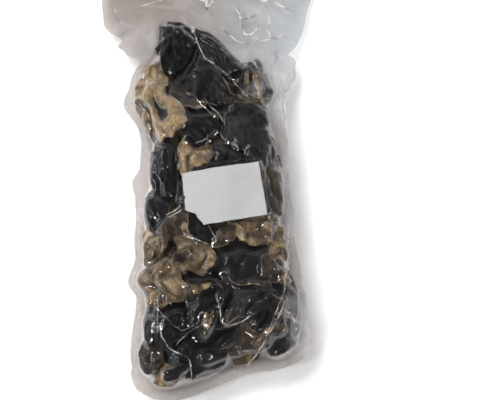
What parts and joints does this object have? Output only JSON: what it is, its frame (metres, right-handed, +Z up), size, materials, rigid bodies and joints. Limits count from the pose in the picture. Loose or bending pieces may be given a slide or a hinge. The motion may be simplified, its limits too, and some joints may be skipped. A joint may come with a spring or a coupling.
{
  "type": "vacuum pack of dried wood ear mushrooms",
  "caption": "Clear vacuum-sealed pouch drawn tight over dried wood ear mushrooms and a blank paper slip, with a sealed header above them; it lies on its back.",
  "frame": {"origin": "middle of the pack's box, on the surface that the pack lies on", "axes": "+X across the pack, +Y along it towards the pouch's mouth, +Z up through the front film"},
  "size_m": [0.2114, 0.414, 0.0561],
  "materials": {
    "dark_face": "dry, horny, half gloss",
    "felt_back": "felted, matt",
    "brown_face": "dry, dull",
    "clear_film": "clear, glossy",
    "slip_paper": "plain, matt"
  },
  "bodies": {
    "root": {"ear_back_01": "dark_face", "ear_back_02": "brown_face", "ear_back_03": "felt_back", "ear_back_04": "felt_back", "ear_back_05": "dark_face", "ear_back_06": "dark_face", "ear_back_07": "brown_face", "ear_back_08": "felt_back", "ear_back_09": "felt_back", "ear_back_10": "dark_face", "ear_back_11": "dark_face", "ear_back_12": "brown_face", "ear_back_13": "felt_back", "ear_back_14": "felt_back", "ear_back_15": "dark_face", "ear_big_low": "dark_face", "ear_black_left": "dark_face", "ear_black_low": "dark_face", "ear_broad_right": "dark_face", "ear_buff_left": "felt_back", "ear_buff_low": "felt_back", "ear_buff_over_slip": "felt_back", "ear_buff_right": "felt_back", "ear_buff_top": "felt_back", "ear_corner": "dark_face", "ear_crown": "dark_face", "ear_curved": "dark_face", "ear_fan": "felt_back", "ear_hood": "dark_face", "ear_inner_1": "brown_face", "ear_inner_2": "brown_face", "ear_inner_3": "brown_face", "ear_inner_4": "brown_face", "ear_left_crumple": "felt_back", "ear_left_lobes": "brown_face", "ear_left_of_slip": "dark_face", "ear_long_fold": "dark_face", "ear_long_low": "dark_face", "ear_low_right": "felt_back", "ear_mid_black": "dark_face", "ear_mid_low": "dark_face", "ear_mottled": "felt_back", "ear_pocket": "brown_face", "ear_ridge": "brown_face", "ear_right_crumple": "felt_back", "ear_right_edge": "dark_face", "ear_right_side": "brown_face", "ear_right_top": "dark_face", "ear_rolled_cup": "felt_back", "ear_round": "dark_face", "ear_rust": "brown_face", "ear_spike": "dark_face", "ear_tan_lip": "brown_face", "ear_teardrop": "dark_face", "ear_top_edge": "dark_face", "ear_under_slip": "dark_face", "film_back": "clear_film", "film_front": "clear_film", "paper_slip": "slip_paper"}
  },
  "joints": []
}
